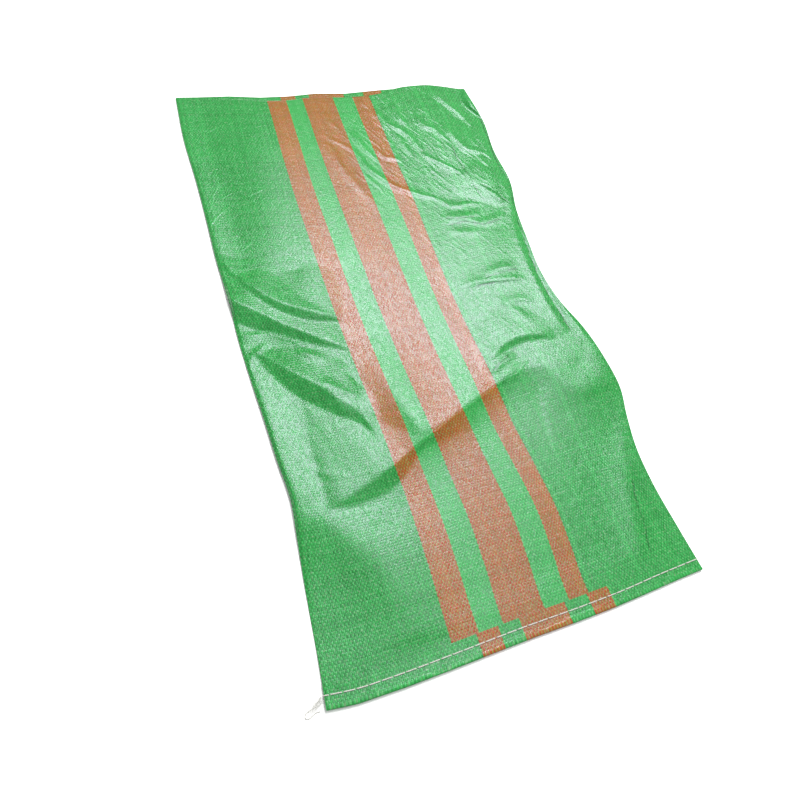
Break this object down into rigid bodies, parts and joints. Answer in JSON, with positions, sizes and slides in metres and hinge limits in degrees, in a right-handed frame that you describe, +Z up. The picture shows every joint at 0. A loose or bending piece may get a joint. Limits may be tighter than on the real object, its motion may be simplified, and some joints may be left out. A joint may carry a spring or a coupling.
{
  "type": "woven polypropylene sack",
  "caption": "Empty green woven polypropylene sack with orange-brown stripes, lying flat, with a folded and sewn bottom hem and an open mouth.",
  "frame": {"origin": "on the floor, under the middle of the sack's outline", "axes": "+Z up from the floor, +Y from the sewn bottom to the open mouth, +X across the sack to the right as seen from the bottom end"},
  "size_m": [0.5328, 0.9069, 0.0161],
  "materials": {
    "woven_cloth": "gloss",
    "sewing_thread": "matte"
  },
  "bodies": {
    "root": {"sack_body": "woven_cloth", "seam_thread": "sewing_thread", "thread_tail": "sewing_thread"}
  },
  "joints": []
}
